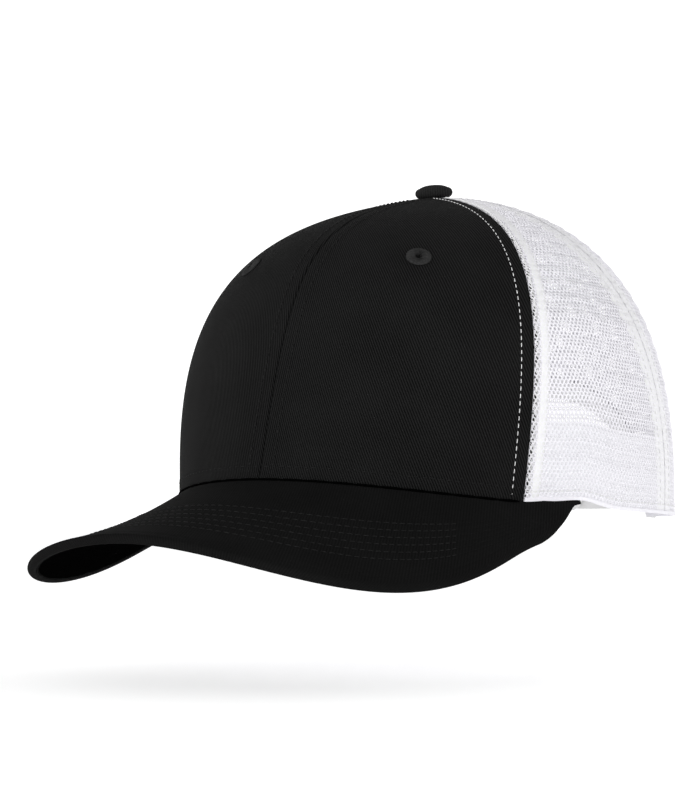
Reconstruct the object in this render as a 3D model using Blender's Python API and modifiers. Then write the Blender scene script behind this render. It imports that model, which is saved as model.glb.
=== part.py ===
"""Trucker mesh cap: six-panel crown, curved visor, sweatband and snap closure.

Lengths are in millimetres and angles in degrees until a mesh is written in metres.
The visor points along -Y, the wearer's left is +X, and the origin is the centre of the
head opening. An azimuth is measured round the head from the front centre seam, positive
towards the wearer's left. A rise runs up a rib of the crown, 0 at the hem and 1 at the top.
"""

import math

import bmesh
import bpy
from mathutils import Matrix, Vector

MM = 0.001

# Head opening
HALF_WIDTH = 83.2
HALF_LENGTH = 104.7
BACK_FULLNESS = 0.094

# Crown ribs: each value is given at the front, the side and the back of the head
CROWN_HEIGHT = 112.8
APEX_SET_BACK = 6.2
APEX_SHIFT_POWER = 1.5
RIB_LEAN = (-0.144, 0.163, -0.349)
RIB_RISE = (0.698, 0.665, 0.584)
RIB_SHOULDER = (0.802, 0.680, 0.598)
RIB_CREST = (0.150, 0.033, -0.047)
APEX_RISE = 0.985
CROWN_ROWS = 14

# Seams between the panels: azimuth at the hem, bow at mid height and drift up to the top
SIDE_SEAM = (60.1, 1.4, 3.2)
REAR_SIDE_SEAM = (106.0, -6.4, -15.6)
SEAM_GAP = 0.3

# Layers of the crown, as depths below the outer surface
LAYER_GAP = 0.3
FABRIC = 0.8
BUCKRAM_DEPTH = FABRIC + LAYER_GAP
BUCKRAM = 0.6
TAPE_DEPTH = BUCKRAM_DEPTH + BUCKRAM + LAYER_GAP
TAPE = 0.6
BAND_DEPTH = TAPE_DEPTH + TAPE + LAYER_GAP
BAND = 1.5
BAND_ROWS = 2
BUCKRAM_FOOT = 0.012
BAND_FOOT = 0.006
BUCKRAM_INSET = 1.5
TAPE_HALF_WIDTHS = {"front": 8.0, "side": 6.0, "rear_side": 9.0, "rear": 8.0}
TAPE_LARGEST_SHARE = 11.0

# Visor
VISOR_END = 68.0
VISOR_HALF_WIDTH = 76.7
VISOR_LENGTH = 72.1
VISOR_TIP_Y = -38.0
VISOR_SIDE_POWER = 2.645
VISOR_NOSE_POWER = 3.07
VISOR_ROOT_HEIGHT = 6.8
VISOR_BEND_RADIUS = 101.6
VISOR_BEND_FLARE = 0.139
VISOR_SLOPE = 19.6
VISOR_LIFT = 16.3
VISOR_ROOT_GAP = 0.4
VISOR_COVER = 0.5
VISOR_BOARD = 1.5
VISOR_BOARD_DEPTH = VISOR_COVER + LAYER_GAP
VISOR_UNDER_DEPTH = VISOR_BOARD_DEPTH + VISOR_BOARD + LAYER_GAP
VISOR_LIP = 2.7
VISOR_BOARD_INSET = 1.4
VISOR_UNDER_INSET = 0.9
VISOR_COLUMNS = 26
VISOR_ROWS = 5
RIM_SAMPLES = 240

# Height of the hem behind the visor
HEM_BACK_HEIGHT = -4.0
HEM_START = 73.3
HEM_EASING = 0.6

# Half-moon opening at the back and the binding folded over its edge
ARCH_HALF_WIDTH = 33.3
ARCH_RISE = 0.25
ARCH_POWER = 2.5
ARCH_COLUMNS = 10
BINDING = 0.6
BINDING_WIDTH = 8.0
BINDING_STEPS = 28

# Snap closure: two straps, the outer one with holes and the inner one with pegs
STRAP = 1.2
STRAP_FOOT = 0.003
STRAP_TOP = 0.085
STRAP_TAB_DEPTH = TAPE_DEPTH
STRAP_RAMP = 6.0
HOLE_STRAP_DEPTH = 0.4
PEG_STRAP_DEPTH = 2.2
TAB_REACH = 9.0
HINGE_INSET = 2.7
HINGE_CLEARANCE = 0.45
PEG_COUNT = 7
PEG_PITCH = 5.2
PEGS_IN_USE = 4
STRAP_END_MARGIN = 3.5
STRAP_ROUND_LENGTH = 5.6
PEG_RADIUS = 1.75
PEG_TOP = 0.3
PEG_ROOT = 0.4
HOLE_RADIUS = 2.9

# Vent eyelets
EYELET_AZIMUTH = 33.0
EYELET_RISE = 0.50
EYELET_RADIUS = 3.1
EYELET_THREAD = 1.5
EYELET_FLATNESS = 0.4
EYELET_HOLE = 1.3

# Top button
BUTTON_TILT = 8.0
BUTTON_RADIUS = 6.9
BUTTON_TOP = 5.2
BUTTON_SEAT = 1.0
BUTTON_COVER = 0.6
STEM_RADIUS = 1.5
WASHER_DEPTH = 4.0
WASHER = 0.7
WASHER_RADIUS = 5.0

FABRIC_BLACK = (0.014, 0.014, 0.016)
LINING_BLACK = (0.003, 0.003, 0.003)
BUCKRAM_WHITE = (0.62, 0.61, 0.58)
MESH_WHITE = (0.80, 0.80, 0.83)
TAPE_WHITE = (0.86, 0.86, 0.88)
SNAP_WHITE = (0.84, 0.84, 0.84)
BOARD_GREY = (0.30, 0.30, 0.31)
STEEL = (0.55, 0.55, 0.56)


def clear_scene():
    """Empty the file of the objects that it starts with."""
    for item in list(bpy.data.objects):
        bpy.data.objects.remove(item, do_unlink=True)


def make_collection(name):
    """A new collection in the scene."""
    group = bpy.data.collections.new(name)
    bpy.context.scene.collection.children.link(group)
    return group


def clamp(value, low, high):
    """A value held between two limits."""
    return max(low, min(high, value))


def mix(start, end, share):
    """A value or vector part of the way between two others."""
    return start * (1 - share) + end * share


def smooth(share):
    """A share from 0 to 1, eased at both ends."""
    held = clamp(share, 0, 1)
    return held * held * (3 - 2 * held)


def visor_height(x, y):
    """Height of the visor's upper surface, also where it is carried on under the crown."""
    forward = -HALF_LENGTH - y
    bend = VISOR_BEND_RADIUS * (1 + VISOR_BEND_FLARE * clamp(forward, -50, 90) / 100)
    drop = bend - math.sqrt(bend ** 2 - x ** 2)
    fall = math.tan(math.radians(VISOR_SLOPE)) * forward
    lift = VISOR_LIFT * (clamp(forward, -60, 100) / 100) ** 2
    return VISOR_ROOT_HEIGHT - drop - fall + lift


def opening_point(azimuth):
    """Plan position on the outline of the head opening."""
    angle = math.radians(azimuth)
    fullness = 1 - BACK_FULLNESS * math.cos(angle)
    return Vector((HALF_WIDTH * math.sin(angle) * fullness, -HALF_LENGTH * math.cos(angle), 0))


def front_hem_height(azimuth):
    """Height of the hem where the visor is sewn to it."""
    point = opening_point(azimuth)
    return visor_height(point.x, point.y)


def hem_height(azimuth):
    """Height of the hem all round: along the visor, then easing down to the back."""
    turn = abs((azimuth + 180) % 360 - 180)
    if turn <= HEM_START:
        return front_hem_height(turn)
    start = front_hem_height(HEM_START)
    slope = (start - front_hem_height(HEM_START - 1)) * HEM_EASING
    reach = 180 - HEM_START
    share = (turn - HEM_START) / reach
    carry = share * (1 - share) ** 2 * slope * reach
    return mix(start, HEM_BACK_HEIGHT, smooth(share)) + carry


def rib_value(values, azimuth):
    """A rib's value at an azimuth, from its front, side and back values."""
    front, side, back = values
    along = math.cos(math.radians(azimuth))
    return side + (front - back) / 2 * along + ((front + back) / 2 - side) * along ** 2


def crown_point(azimuth, rise):
    """Point on the crown's outer surface."""
    lean = rib_value(RIB_LEAN, azimuth)
    first = 3 * rise * (1 - rise) ** 2
    second = 3 * rise ** 2 * (1 - rise)
    reach = (1 - rise) ** 3 + first * (1 + lean) + second * rib_value(RIB_SHOULDER, azimuth)
    height = first * rib_value(RIB_RISE, azimuth) + rise ** 3
    height += second * (1 - rib_value(RIB_CREST, azimuth))
    hem = hem_height(azimuth)
    point = opening_point(azimuth) * reach
    point.y += APEX_SET_BACK * max(height, 0) ** APEX_SHIFT_POWER
    point.z = mix(hem, CROWN_HEIGHT, height)
    return point


def crown_tangents(azimuth, rise):
    """Change of the crown's surface point for one degree of azimuth and for one unit of rise."""
    turn = 0.5
    climb = 0.002
    round_head = crown_point(azimuth + turn, rise) - crown_point(azimuth - turn, rise)
    up_rib = crown_point(azimuth, rise + climb) - crown_point(azimuth, rise - climb)
    return round_head / (2 * turn), up_rib / (2 * climb)


def crown_normal(azimuth, rise):
    """Outward direction of the crown's surface."""
    round_head, up_rib = crown_tangents(azimuth, rise)
    return round_head.cross(up_rib).normalized()


def in_crown(azimuth, rise, depth):
    """Point at a depth below the crown's outer surface."""
    return crown_point(azimuth, rise) - crown_normal(azimuth, rise) * depth


def walk_on_crown(azimuth, rise, move):
    """Azimuth and rise reached by a small move across the surface."""
    round_head, up_rib = crown_tangents(azimuth, rise)
    shared = round_head.dot(up_rib)
    spread = round_head.length_squared * up_rib.length_squared - shared ** 2
    along = move.dot(round_head)
    up = move.dot(up_rib)
    turn = (along * up_rib.length_squared - up * shared) / spread
    climb = (up * round_head.length_squared - along * shared) / spread
    return azimuth + turn, rise + climb


def seam_azimuth(seam, rise):
    """Azimuth of a seam at a rise."""
    hem, bow, drift = seam
    return hem + bow * 4 * rise * (1 - rise) + drift * rise


def degrees_for(length, azimuth, rise):
    """Azimuth that spans a length round the head."""
    return length / crown_tangents(azimuth, rise)[0].length


def make_material(name, colour, roughness, metallic):
    """A Principled BSDF material."""
    material = bpy.data.materials.new(name)
    material.use_nodes = True
    shader = material.node_tree.nodes["Principled BSDF"]
    shader.inputs["Base Color"].default_value = (*colour, 1)
    shader.inputs["Roughness"].default_value = roughness
    shader.inputs["Metallic"].default_value = metallic
    return material


def add_object(name, shape, group, origin=Vector((0, 0, 0))):
    """Turn a bmesh in millimetres into an object in metres with its origin at a point."""
    mesh = bpy.data.meshes.new(name)
    for vertex in shape.verts:
        vertex.co = (vertex.co - origin) * MM
    shape.normal_update()
    shape.to_mesh(mesh)
    shape.free()
    item = bpy.data.objects.new(name, mesh)
    item.location = origin * MM
    group.objects.link(item)
    return item


def finish(item, colour, roughness=0.85, metallic=0.0):
    """Give a node its own material and smooth shading."""
    item.data.materials.append(make_material(item.name, colour, roughness, metallic))
    item.data.shade_smooth()
    return item


def add_sheet(name, columns, rows, place, thickness, group, origin=Vector((0, 0, 0)), offset=-1):
    """A grid set in place by a function of its two shares, thickened by Solidify."""
    shape = bmesh.new()
    bmesh.ops.create_grid(shape, x_segments=columns, y_segments=rows, size=0.5)
    for vertex in shape.verts:
        vertex.co = place(vertex.co.x + 0.5, vertex.co.y + 0.5)
    item = add_object(name, shape, group, origin)
    solid = item.modifiers.new("Thickness", "SOLIDIFY")
    solid.thickness = thickness * MM
    solid.offset = offset
    solid.use_even_offset = True
    return item


def mirrored(place):
    """The same sheet on the wearer's right."""
    def place_right(u, v):
        point = place(1 - u, v)
        return Vector((-point.x, point.y, point.z))
    return place_right


def for_side(place, side):
    """A sheet made for the wearer's left, placed on either side."""
    return place if side == "left" else mirrored(place)


def add_boolean(item, other, operation):
    """Cut or join another object into this one."""
    boolean = item.modifiers.new(operation.title(), "BOOLEAN")
    boolean.object = other
    boolean.operation = operation
    boolean.solver = "EXACT"


def hide_guide(item):
    """Show a cutter or guide as wires only."""
    item.hide_render = True
    item.display_type = "WIRE"


def frame_at(point, normal):
    """A frame whose Z axis is a surface normal."""
    turn = normal.to_track_quat("Z", "Y").to_matrix().to_4x4()
    return Matrix.Translation(point) @ turn


def add_posts(name, places, radius, top, bottom, segments, group):
    """Round posts that stand across the crown's surface, from a height to a depth."""
    shape = bmesh.new()
    for azimuth, rise in places:
        middle = in_crown(azimuth, rise, (bottom - top) / 2)
        bmesh.ops.create_cone(
            shape, cap_ends=True, segments=segments, radius1=radius, radius2=radius,
            depth=top + bottom, matrix=frame_at(middle, crown_normal(azimuth, rise)))
    item = add_object(name, shape, group)
    hide_guide(item)
    return item


def row_rise(v, foot=0.0, rows=CROWN_ROWS):
    """Rise of a row of the crown's layers, which share their rows so that they nest."""
    return clamp(v * APEX_RISE * rows / CROWN_ROWS, foot, APEX_RISE)


def panel(first_seam, last_seam, depth, inset=0.0, foot=0.0):
    """Surface of a crown panel between two seams."""
    def place(u, v):
        rise = row_rise(v, foot)
        first = seam_azimuth(first_seam, rise)
        last = seam_azimuth(last_seam, rise)
        first += degrees_for(SEAM_GAP / 2 + inset, first, rise)
        last -= degrees_for(SEAM_GAP / 2 + inset, last, rise)
        return in_crown(mix(first, last, u), rise, depth)
    return place


def add_front_panels(group, cutters):
    """Twill front panels, and the buckram that stiffens them, each with its vent hole."""
    front_seam = (0.0, 0.0, 0.0)
    for side in ("left", "right"):
        sign = 1 if side == "left" else -1
        vent = add_posts(
            f"vent_cutter_{side}", [(sign * EYELET_AZIMUTH, EYELET_RISE)], EYELET_HOLE,
            FABRIC, BUCKRAM_DEPTH + 2 * BUCKRAM, 10, cutters)
        shell = panel(front_seam, SIDE_SEAM, 0)
        twill = add_sheet(f"front_panel_{side}", 12, CROWN_ROWS, for_side(shell, side), FABRIC, group)
        add_boolean(twill, vent, "DIFFERENCE")
        finish(twill, FABRIC_BLACK)
        liner = panel(front_seam, SIDE_SEAM, BUCKRAM_DEPTH, BUCKRAM_INSET, BUCKRAM_FOOT)
        stiff = add_sheet(f"buckram_{side}", 12, CROWN_ROWS, for_side(liner, side), BUCKRAM, group)
        add_boolean(stiff, vent, "DIFFERENCE")
        finish(stiff, BUCKRAM_WHITE)


def add_side_mesh(group):
    """Side panels of knitted mesh."""
    for side in ("left", "right"):
        place = panel(SIDE_SEAM, REAR_SIDE_SEAM, 0)
        sheet = add_sheet(f"side_mesh_{side}", 9, CROWN_ROWS, for_side(place, side), FABRIC, group)
        finish(sheet, MESH_WHITE)


def arch_edge(turn):
    """Azimuth and rise of the half-moon opening's edge, from 0 at its left foot to 180."""
    angle = math.radians(turn)
    across = math.copysign(abs(math.cos(angle)) ** (2 / ARCH_POWER), math.cos(angle))
    azimuth = 180 - ARCH_HALF_WIDTH * across
    return azimuth, ARCH_RISE * max(math.sin(angle), 0) ** (2 / ARCH_POWER)


def rear_panel(u, v):
    """Surface of the left rear panel: its hem runs to the arch, then along the arch's edge."""
    columns = 8 + ARCH_COLUMNS
    column = u * columns
    wall_columns = columns - ARCH_COLUMNS
    if column <= wall_columns:
        rise = row_rise(v)
        seam = seam_azimuth(REAR_SIDE_SEAM, rise)
        seam += degrees_for(SEAM_GAP / 2, seam, rise)
        foot = 180 - ARCH_HALF_WIDTH * (1 - smooth((rise - ARCH_RISE) / (1 - ARCH_RISE)) / 2)
        return in_crown(mix(seam, foot, column / wall_columns), rise, 0)
    azimuth, low = arch_edge(90 * (column - wall_columns) / ARCH_COLUMNS)
    rise = mix(low, APEX_RISE, v)
    foot_share = smooth((rise - ARCH_RISE) / (1 - ARCH_RISE)) / 2
    azimuth = 180 - (180 - azimuth) * (1 - foot_share)
    centre = 180 - degrees_for(SEAM_GAP / 2, 180, rise)
    return in_crown(min(azimuth, centre), rise, 0)


def add_rear_mesh(group):
    """Rear panels of knitted mesh, cut away round the half-moon opening."""
    for side in ("left", "right"):
        place = for_side(rear_panel, side)
        sheet = add_sheet(f"rear_mesh_{side}", 8 + ARCH_COLUMNS, CROWN_ROWS, place, FABRIC, group)
        finish(sheet, MESH_WHITE)


def tape(seam, half_width, start):
    """Surface of a tape that covers a seam on the inside, narrowed where the tapes meet."""
    def place(u, v):
        rise = row_rise(v, start)
        azimuth = seam_azimuth(seam, rise)
        half = min(degrees_for(half_width, azimuth, rise), TAPE_LARGEST_SHARE)
        return in_crown(azimuth + half * (2 * u - 1), rise, TAPE_DEPTH)
    return place


def add_tapes(group):
    """Seam tapes inside the crown."""
    places = {
        "seam_tape_front": tape((0.0, 0.0, 0.0), TAPE_HALF_WIDTHS["front"], BUCKRAM_FOOT),
        "seam_tape_rear": tape((180.0, 0.0, 0.0), TAPE_HALF_WIDTHS["rear"], ARCH_RISE + 0.05),
    }
    for side in ("left", "right"):
        front = tape(SIDE_SEAM, TAPE_HALF_WIDTHS["side"], BUCKRAM_FOOT)
        rear = tape(REAR_SIDE_SEAM, TAPE_HALF_WIDTHS["rear_side"], BUCKRAM_FOOT)
        places[f"seam_tape_side_{side}"] = for_side(front, side)
        places[f"seam_tape_rear_side_{side}"] = for_side(rear, side)
    for name, place in places.items():
        finish(add_sheet(name, 2, CROWN_ROWS, place, TAPE, group), TAPE_WHITE)


def add_sweatband(group):
    """Band round the inside of the hem, open across the half-moon opening."""
    end = 180 - ARCH_HALF_WIDTH - TAB_REACH - 1

    def place(u, v):
        rise = row_rise(v, BAND_FOOT, BAND_ROWS)
        return in_crown(mix(-end, end, u), rise, BAND_DEPTH)

    finish(add_sheet("sweatband", 66, BAND_ROWS, place, BAND, group), TAPE_WHITE)


def binding_fold(u, v):
    """Tape folded over the arch's edge: from its outer leg round the fold to its inner leg."""
    azimuth, rise = arch_edge(180 * u)
    ahead = crown_point(*arch_edge(min(180 * u + 1, 180)))
    behind = crown_point(*arch_edge(max(180 * u - 1, 0)))
    normal = crown_normal(azimuth, rise)
    away = normal.cross(ahead - behind).normalized()
    outer = LAYER_GAP + BINDING / 2
    inner = -(FABRIC + LAYER_GAP + BINDING / 2)
    fold = -(LAYER_GAP + BINDING / 2)
    section = [
        (BINDING_WIDTH, outer), (BINDING_WIDTH / 2, outer), (fold, outer),
        (fold, inner), (BINDING_WIDTH / 2, inner), (BINDING_WIDTH, inner),
    ]
    reach, height = section[round(v * (len(section) - 1))]
    return in_crown(*walk_on_crown(azimuth, rise, away * reach), -height)


def add_binding(group):
    """Binding of the half-moon opening."""
    sheet = add_sheet("arch_binding", BINDING_STEPS, 5, binding_fold, BINDING, group, offset=0)
    finish(sheet, TAPE_WHITE)


def rim_point(turn):
    """Plan position on the visor's outer edge, from -90 at the right tip to 90 at the left."""
    angle = math.radians(turn)
    side = math.copysign(abs(math.sin(angle)) ** (2 / VISOR_SIDE_POWER), math.sin(angle))
    nose = max(math.cos(angle), 0) ** (2 / VISOR_NOSE_POWER)
    reach = HALF_LENGTH + VISOR_LENGTH + VISOR_TIP_Y
    return Vector((VISOR_HALF_WIDTH * side, VISOR_TIP_Y - reach * nose, 0))


def measured(points):
    """Distance along a line of points to each of them."""
    lengths = [0.0]
    for start, end in zip(points, points[1:]):
        lengths.append(lengths[-1] + (end - start).length)
    return lengths


RIM = [rim_point(-90 + 180 * step / RIM_SAMPLES) for step in range(RIM_SAMPLES + 1)]
RIM_LENGTHS = measured(RIM)


def rim_at(share):
    """Point at a share of the visor's outer edge, measured along it, and its outward normal."""
    goal = share * RIM_LENGTHS[-1]
    step = 0
    while step < len(RIM) - 2 and RIM_LENGTHS[step + 1] < goal:
        step += 1
    part = (goal - RIM_LENGTHS[step]) / (RIM_LENGTHS[step + 1] - RIM_LENGTHS[step])
    run = RIM[step + 1] - RIM[step]
    return mix(RIM[step], RIM[step + 1], part), Vector((run.y, -run.x, 0)).normalized()


def visor_root(share):
    """Point on the visor's inner edge, just outside the crown, at a share from the right."""
    azimuth = mix(-VISOR_END, VISOR_END, share)
    run = opening_point(azimuth + 0.5) - opening_point(azimuth - 0.5)
    outward = Vector((run.y, -run.x, 0)).normalized()
    return opening_point(azimuth) + outward * VISOR_ROOT_GAP


def in_visor(plan, depth):
    """Point at a depth below the visor's upper surface."""
    reach = 0.5
    slope_x = visor_height(plan.x + reach, plan.y) - visor_height(plan.x - reach, plan.y)
    slope_y = visor_height(plan.x, plan.y + reach) - visor_height(plan.x, plan.y - reach)
    normal = Vector((-slope_x, -slope_y, 2 * reach)).normalized()
    return Vector((plan.x, plan.y, visor_height(plan.x, plan.y))) - normal * depth


def visor_layer(depth, inset, lip=0.0):
    """Surface of a visor layer, from the crown to the rim, with an optional turned-down lip."""
    rows = VISOR_ROWS + (1 if lip else 0)

    def place(u, v):
        share = 1 - u
        row = round(v * rows)
        rim, outward = rim_at(share)
        plan = mix(visor_root(share), rim - outward * inset, min(row / VISOR_ROWS, 1))
        return in_visor(plan, depth + (lip if row > VISOR_ROWS else 0))

    return place, rows


def add_visor(group):
    """Visor board between its two fabric covers, the upper one turned down round the rim."""
    layers = {
        "visor_top_cover": (visor_layer(0, 0, VISOR_LIP), VISOR_COVER, FABRIC_BLACK),
        "visor_board": (
            visor_layer(VISOR_BOARD_DEPTH, VISOR_BOARD_INSET), VISOR_BOARD, BOARD_GREY),
        "visor_under_cover": (
            visor_layer(VISOR_UNDER_DEPTH, VISOR_UNDER_INSET), VISOR_COVER, LINING_BLACK),
    }
    for name, ((place, rows), thickness, colour) in layers.items():
        finish(add_sheet(name, VISOR_COLUMNS, rows, place, thickness, group), colour)


def strap_seat(share_of_ramp, depth):
    """Depth of a strap's outer face as it leaves its tab."""
    return mix(STRAP_TAB_DEPTH, depth, smooth(share_of_ramp))


def strap_band(start, end, depth, columns, round_columns):
    """Surface of a strap on the wearer's left, from its root to its rounded free end."""
    middle = (STRAP_FOOT + STRAP_TOP) / 2
    half_height = (STRAP_TOP - STRAP_FOOT) / 2
    straight = columns - round_columns

    def place(u, v):
        column = round(u * columns)
        width = 1.0
        azimuth = mix(start, end - STRAP_ROUND_LENGTH, min(column / straight, 1))
        if column > straight:
            angle = math.radians(80 * (column - straight) / round_columns)
            azimuth = end - STRAP_ROUND_LENGTH * (1 - math.sin(angle))
            width = math.cos(angle)
        rise = middle + half_height * width * (2 * v - 1)
        return in_crown(azimuth, rise, strap_seat((azimuth - start) / STRAP_RAMP, depth))

    return place


def hinge_azimuth():
    """Azimuth of the line where the left strap bends, just inside the opening."""
    return 180 - ARCH_HALF_WIDTH + HINGE_INSET


def hinge_point():
    """Point on the left strap's bending line, at the hem and in mid thickness."""
    return in_crown(hinge_azimuth(), STRAP_FOOT, STRAP_TAB_DEPTH + STRAP / 2)


def add_strap(name, side, depth, group):
    """One strap and its sewn tab, parted at the line where the strap bends."""
    foot = 180 - ARCH_HALF_WIDTH
    hinge = hinge_azimuth()
    overlap = (PEGS_IN_USE - 1) * PEG_PITCH / 2 + STRAP_END_MARGIN

    def tab(u, v):
        azimuth = mix(foot - TAB_REACH, hinge - HINGE_CLEARANCE, u)
        rise = mix(STRAP_FOOT, STRAP_TOP, v)
        return in_crown(azimuth, rise, STRAP_TAB_DEPTH)

    fixed = add_sheet(f"{name}_tab", 5, 3, for_side(tab, side), STRAP, group)
    finish(fixed, SNAP_WHITE, 0.35)
    origin = hinge_point()
    origin.x *= 1 if side == "left" else -1
    band = strap_band(hinge + HINGE_CLEARANCE, 180 + overlap, depth, 22, 4)
    return add_sheet(name, 22, 3, for_side(band, side), STRAP, group, origin)


def add_closure(group, cutters):
    """Snap closure: the outer strap's holes and the inner strap's pegs share their pitch."""
    middle = (STRAP_FOOT + STRAP_TOP) / 2
    first_hole = 180 + (PEGS_IN_USE - 1) * PEG_PITCH / 2
    holes = [(first_hole - PEG_PITCH * step, middle) for step in range(PEG_COUNT)]
    pegs = [(360 - azimuth, rise) for azimuth, rise in holes]
    outer = add_strap("hole_strap", "left", HOLE_STRAP_DEPTH, group)
    hole_cutter = add_posts("hole_cutter", holes, HOLE_RADIUS, STRAP, 3 * STRAP, 12, cutters)
    add_boolean(outer, hole_cutter, "DIFFERENCE")
    finish(outer, SNAP_WHITE, 0.35)
    inner = add_strap("peg_strap", "right", PEG_STRAP_DEPTH, group)
    peg_guide = add_posts(
        "peg_guide", pegs, PEG_RADIUS, PEG_TOP, PEG_STRAP_DEPTH + PEG_ROOT, 10, cutters)
    add_boolean(inner, peg_guide, "UNION")
    finish(inner, SNAP_WHITE, 0.35)


def add_eyelets(group):
    """Embroidered rings round the vent holes of the front panels."""
    for side, sign in (("left", 1), ("right", -1)):
        azimuth = sign * EYELET_AZIMUTH
        height = LAYER_GAP + EYELET_THREAD * EYELET_FLATNESS
        place = frame_at(
            in_crown(azimuth, EYELET_RISE, -height), crown_normal(azimuth, EYELET_RISE))
        bpy.ops.mesh.primitive_torus_add(
            major_segments=18, minor_segments=6, major_radius=EYELET_RADIUS,
            minor_radius=EYELET_THREAD)
        ring = bpy.context.object
        shape = bmesh.new()
        shape.from_mesh(ring.data)
        flatten = Matrix.Diagonal((1, 1, EYELET_FLATNESS, 1))
        bmesh.ops.transform(shape, matrix=place @ flatten, verts=shape.verts)
        bpy.data.objects.remove(ring, do_unlink=True)
        finish(add_object(f"eyelet_{side}", shape, group), FABRIC_BLACK)


def add_turned(name, profile, group):
    """A solid turned about the button's axis, from a profile that runs down its outer side."""
    shape = bmesh.new()
    corners = [shape.verts.new((radius, 0, height)) for radius, height in profile]
    for start, end in zip(corners, corners[1:]):
        shape.edges.new((start, end))
    item = add_object(name, shape, group)
    screw = item.modifiers.new("Turn", "SCREW")
    screw.steps = 20
    screw.render_steps = 20
    screw.use_merge_vertices = True
    screw.merge_threshold = 0.00005
    screw.use_smooth_shade = True
    item.location = crown_point(0, 1) * MM
    item.rotation_euler = (math.radians(BUTTON_TILT), 0, 0)
    return item


def dome(radius, top, seat, steps=6):
    """Profile of a low dome, from its centre down to its edge."""
    return [
        (radius * math.sin(angle), seat + (top - seat) * math.cos(angle) ** 0.7)
        for angle in (math.radians(90 * step / steps) for step in range(steps))
    ]


def add_button(group):
    """Top button: a fabric cover over a pressed shell whose stem holds a washer inside."""
    shell_radius = BUTTON_RADIUS - BUTTON_COVER - LAYER_GAP
    shell_top = BUTTON_TOP - BUTTON_COVER - LAYER_GAP
    cover_inner = BUTTON_RADIUS - BUTTON_COVER
    edge = BUTTON_SEAT + 0.9
    outside = dome(BUTTON_RADIUS, BUTTON_TOP, edge) + [
        (BUTTON_RADIUS, edge), (BUTTON_RADIUS, BUTTON_SEAT), (cover_inner, BUTTON_SEAT)]
    inside = dome(cover_inner, BUTTON_TOP - BUTTON_COVER, edge)
    cover = add_turned("button_cover", outside + [(cover_inner, edge)] + inside[::-1], group)
    finish(cover, FABRIC_BLACK)
    stem_end = WASHER_DEPTH + WASHER + 0.6
    shell = dome(shell_radius, shell_top, edge) + [
        (shell_radius, edge), (shell_radius, BUTTON_SEAT), (STEM_RADIUS, BUTTON_SEAT),
        (STEM_RADIUS, -stem_end), (0, -stem_end)]
    finish(add_turned("button_shell", shell, group), STEEL, 0.4, 1.0)
    bore = STEM_RADIUS + LAYER_GAP
    washer = [
        (bore, -WASHER_DEPTH), (WASHER_RADIUS, -WASHER_DEPTH),
        (WASHER_RADIUS, -WASHER_DEPTH - WASHER), (bore, -WASHER_DEPTH - WASHER),
        (bore, -WASHER_DEPTH)]
    finish(add_turned("button_washer", washer, group), STEEL, 0.4, 1.0)


def main():
    clear_scene()
    cap = make_collection("trucker_mesh_cap")
    cutters = make_collection("cutters")
    add_front_panels(cap, cutters)
    add_side_mesh(cap)
    add_rear_mesh(cap)
    add_tapes(cap)
    add_sweatband(cap)
    add_binding(cap)
    add_visor(cap)
    add_closure(cap, cutters)
    add_eyelets(cap)
    add_button(cap)


main()
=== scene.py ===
"""Looks of the trucker mesh cap: sewn fabric, open mesh, stitching, visor and snap closure.

Shapes are worked out in millimetres on the crown's own surface and written in metres.
An azimuth runs round the head in degrees from the front centre seam, positive to the
wearer's left. A rise runs up a rib of the crown, 0 at the hem and 1 at the top.
"""

from math import ceil, cos, pi, radians, sin, tan

import bmesh
import bpy
import numpy as np
from mathutils import Matrix, Vector


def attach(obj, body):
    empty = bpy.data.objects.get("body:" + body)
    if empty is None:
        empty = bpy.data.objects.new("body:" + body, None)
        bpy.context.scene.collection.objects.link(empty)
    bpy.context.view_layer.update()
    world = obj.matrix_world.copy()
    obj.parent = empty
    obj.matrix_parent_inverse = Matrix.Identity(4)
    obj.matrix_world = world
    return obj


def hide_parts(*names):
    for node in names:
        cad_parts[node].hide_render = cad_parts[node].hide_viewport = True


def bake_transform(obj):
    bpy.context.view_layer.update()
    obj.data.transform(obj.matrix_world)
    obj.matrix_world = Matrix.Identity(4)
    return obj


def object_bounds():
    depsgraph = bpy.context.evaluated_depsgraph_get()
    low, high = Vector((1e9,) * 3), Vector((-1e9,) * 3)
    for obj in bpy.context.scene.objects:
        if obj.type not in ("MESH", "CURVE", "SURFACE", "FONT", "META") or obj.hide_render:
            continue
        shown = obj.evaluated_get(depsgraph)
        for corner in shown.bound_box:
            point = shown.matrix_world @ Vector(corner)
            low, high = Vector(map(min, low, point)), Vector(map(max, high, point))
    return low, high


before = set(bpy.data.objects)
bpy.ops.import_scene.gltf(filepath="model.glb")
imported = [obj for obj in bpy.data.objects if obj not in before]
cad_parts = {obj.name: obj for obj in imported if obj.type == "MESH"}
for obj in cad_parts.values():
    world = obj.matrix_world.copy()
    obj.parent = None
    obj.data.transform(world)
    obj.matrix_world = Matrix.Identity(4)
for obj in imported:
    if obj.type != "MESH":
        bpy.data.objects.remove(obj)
cad_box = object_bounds()

MM = 0.001

# The crown's driving dimensions, as in the CAD model
HALF_WIDTH = 83.2
HALF_LENGTH = 104.7
BACK_FULLNESS = 0.094
CROWN_HEIGHT = 112.8
APEX_SET_BACK = 6.2
RIB_LEAN = (-0.144, 0.163, -0.349)
RIB_RISE = (0.698, 0.665, 0.584)
RIB_SHOULDER = (0.802, 0.680, 0.598)
RIB_CREST = (0.150, 0.033, -0.047)
APEX_RISE = 0.985
FRONT_SEAM = (0.0, 0.0, 0.0)
SIDE_SEAM = (60.1, 1.4, 3.2)
REAR_SIDE_SEAM = (106.0, -6.4, -15.6)
REAR_SEAM = (180.0, 0.0, 0.0)
HEM_BACK_HEIGHT = -4.0
HEM_START = 73.3
HEM_EASING = 0.6

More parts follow.
